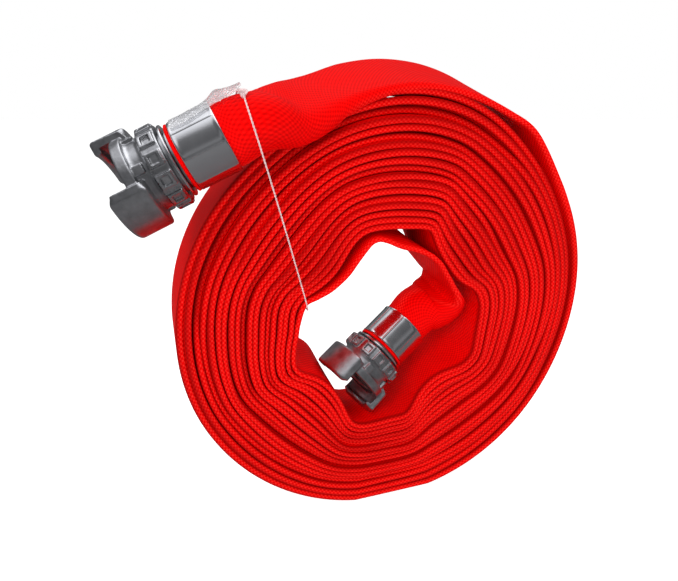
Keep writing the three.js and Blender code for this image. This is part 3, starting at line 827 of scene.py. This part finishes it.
def build_tie():
    """The string of two twisted plies, its knot and the knot's loose end; also its length in metres."""
    lift = np.array((0, 0, ROLL_CENTRE_Z))
    route = spline(np.array(STRING_ROUTE, float) + lift, 0.8)
    plies = [tube(route, 0.36, 8, 4.5, 0.27, phase) for phase in (0.0, math.pi)]
    turns = np.linspace(0, 2 * math.pi, 90)
    knot_at = np.array((-116.6, -57.6, 163.2)) + lift
    knot = np.stack([np.sin(turns) + 2 * np.sin(2 * turns), -np.sin(3 * turns),
                     np.cos(turns) - 2 * np.cos(2 * turns)], axis=1) * 0.8 + knot_at
    bends = ((0, 0, 0), (-2.5, -2, 1.2), (-6, -4, 0.6), (-10, -6, -2.5))
    loose = spline([knot_at + bend for bend in bends], 0.6)
    string = make_mesh("string", *joined(*plies, tube(knot, 0.7, 10), tube(loose, 0.5, 8)))
    finish_piece(string, STRING, "root", "clear_string", "tie_string")
    return float(run_along(route)[-1] * MM)


FILM_START_Z = -36.5
FILM_LENGTH = 48.0
FILM_RADIUS = 22.35
FILM_THICKNESS = 0.18


def build_film():
    """A scrap of clear film, crumpled over the top of the outer ferrule and drawn up near the knot."""
    rng = np.random.default_rng(7)
    folds = [(rng.uniform(0.25, 1.1), rng.uniform(0.1, 0.5), rng.uniform(0, 6.28)) for _ in range(9)]
    rows, columns = 70, 60
    top = math.degrees(math.atan2(outer.up[2], outer.side[2]))
    skins = []
    for skin in (0.0, FILM_THICKNESS):
        grid = []
        for i in range(rows):
            s = i / (rows - 1)
            z = FILM_START_Z - FILM_LENGTH * s
            reach = 34 + 8 * math.sin(3.1 * s + 0.4) + 3 * math.sin(9 * s) - 12 * s * s
            for j in range(columns):
                t = 2 * j / (columns - 1) - 1
                deg = top + reach * t + 4 * math.sin(5 * s)
                crumple = sum(math.sin(a * z + b * deg + c) for a, b, c in folds) / 9
                rise = 3.0 * math.exp(-(((z + 69.0) / 8.0) ** 2)) * max(0.0, 1 - (t * 1.1) ** 2)
                behind = max(0.0, FERRULE_Z[0] - z) * 0.06
                r = FILM_RADIUS + 0.9 * abs(crumple) + rise * (0.9 + 0.4 * crumple) + behind + skin
                a = math.radians(deg)
                grid.append((r * math.cos(a), r * math.sin(a), z))
        skins.append(grid)
    points = skins[0] + skins[1]
    count = rows * columns
    faces = ring_faces(rows, columns, closed_across=False)
    faces += [tuple(i + count for i in face)[::-1] for face in faces]
    border = list(range(columns)) + [i * columns + columns - 1 for i in range(1, rows)]
    border += [(rows - 1) * columns + j for j in range(columns - 2, -1, -1)]
    border += [i * columns for i in range(rows - 2, 0, -1)]
    for a, b in zip(border, border[1:] + border[:1]):
        faces.append((a, b, b + count, a + count))
    film = make_mesh("film", outer.put(points), faces)
    finish_piece(film, FILM, "root", "clear_film", "tie_tape")
    return film


# ---- Camera, floor and light ----------------------------------------------------------------------
FLOOR_RADIUS = 30.0


def set_camera():
    data = bpy.data.cameras.new("camera")
    data.lens = 28.02
    data.sensor_width = 36.0
    data.clip_start, data.clip_end = 0.01, 100.0
    camera = bpy.data.objects.new("camera", data)
    camera.location = (-0.1674, -0.3815, 0.3187)
    camera.rotation_euler = (math.radians(71.45), 0.0, math.radians(-18.593))
    scene.collection.objects.link(camera)
    scene.camera = camera


def softbox(name, place, size, watts, mirrored):
    """A soft rectangular light aimed at the roll's middle, which shows in the metal only if mirrored."""
    data = bpy.data.lights.new(name, "AREA")
    data.shape = "RECTANGLE"
    data.size, data.size_y = size
    data.energy = watts
    light = bpy.data.objects.new(name, data)
    light.visible_glossy = mirrored
    light.location = place
    aim = np.array((0.0, 0.0, 0.17)) - np.array(place)
    tip = math.atan2(math.hypot(aim[0], aim[1]), -aim[2])
    light.rotation_euler = (tip, 0.0, math.atan2(-aim[0], aim[1]))
    scene.collection.objects.link(light)


def set_floor():
    """A wide pale disc, lit up a little for the camera and dark in the metal's reflections."""
    n = Nodes("pale_floor")
    place = n.place()
    tone = n.noise(place, 3.0, 2.0)
    color = n.blend(tone, (0.9, 0.9, 0.9, 1), (0.93, 0.93, 0.93, 1))
    seen = n.maths("MULTIPLY", n.add("ShaderNodeLightPath").outputs["Is Camera Ray"], 0.8)
    n.finish(Base_Color=color, Roughness=0.9, Emission_Color=(1, 1, 1, 1), Emission_Strength=seen)
    sides = 96
    turns = [2 * math.pi * k / sides for k in range(sides)]
    ring = [(FLOOR_RADIUS * math.cos(a), FLOOR_RADIUS * math.sin(a), 0.0) for a in turns]
    mesh = bpy.data.meshes.new("floor")
    mesh.from_pydata(ring, [], [list(range(sides))])
    mesh.materials.append(n.material)
    tree = n.tree
    mirrored = n.add("ShaderNodeBsdfDiffuse", Color=(0.16, 0.16, 0.165, 1))
    mix = tree.nodes.new("ShaderNodeMixShader")
    output = tree.nodes["Material Output"]
    tree.links.new(n.add("ShaderNodeLightPath").outputs["Is Glossy Ray"], mix.inputs[0])
    tree.links.new(n.shader.outputs[0], mix.inputs[1])
    tree.links.new(mirrored.outputs[0], mix.inputs[2])
    tree.links.new(mix.outputs[0], output.inputs["Surface"])
    floor = bpy.data.objects.new("floor", mesh)
    scene.collection.objects.link(floor)


def set_world():
    """White for the camera, soft grey light for the object, and a dark room, bright overhead, in metal."""
    world = bpy.data.worlds.new("studio")
    scene.world = world
    world.use_nodes = True
    tree = world.node_tree
    tree.nodes.clear()

    def link(kind, *sources, **settings):
        node = tree.nodes.new(kind)
        for key, value in settings.items():
            setattr(node, key, value)
        for socket, source in zip(node.inputs, sources):
            if isinstance(source, bpy.types.NodeSocket):
                tree.links.new(source, socket)
            elif source is not None:
                socket.default_value = source
        return node

    way = link("ShaderNodeSeparateXYZ", link("ShaderNodeTexCoord").outputs["Generated"])
    height = link("ShaderNodeMath", way.outputs[2], 0.5, 0.5, operation="MULTIPLY_ADD").outputs[0]
    ramp = link("ShaderNodeValToRGB", height)
    stops = ((0.0, 0.03), (0.5, 0.04), (0.58, 0.24), (0.66, 0.1), (0.82, 0.16), (0.9, 1.0), (1.0, 0.9))
    while len(ramp.color_ramp.elements) < len(stops):
        ramp.color_ramp.elements.new(0.5)
    for element, (place, tone) in zip(ramp.color_ramp.elements, stops):
        element.position = place
        element.color = (tone, tone, tone * 1.04, 1)
    room = link("ShaderNodeBackground", ramp.outputs[0], 1.0)
    soft = link("ShaderNodeBackground", (1, 1, 1, 1), 0.38)
    white = link("ShaderNodeBackground", (1, 1, 1, 1), 1.0)
    path = link("ShaderNodeLightPath")
    lit = link("ShaderNodeMixShader", path.outputs["Is Glossy Ray"], soft.outputs[0], room.outputs[0])
    seen = link("ShaderNodeMixShader", path.outputs["Is Camera Ray"], lit.outputs[0], white.outputs[0])
    link("ShaderNodeOutputWorld", seen.outputs[0])


scene.view_settings.view_transform = "Standard"
set_camera()
set_world()
set_floor()
softbox("key", (-0.75, -1.0, 0.95), (0.9, 0.9), 14.0, False)
softbox("fill", (0.95, -0.95, 0.45), (0.7, 1.0), 5.0, False)
softbox("top", (0.1, 0.15, 1.4), (1.3, 1.1), 4.5, True)

hose, hose_length = build_hose(RED)
build_coupling(outer)
build_coupling(inner)
string_length = build_tie()
film = build_film()
print(f"hose {hose_length:.2f} m, string {string_length:.3f} m")
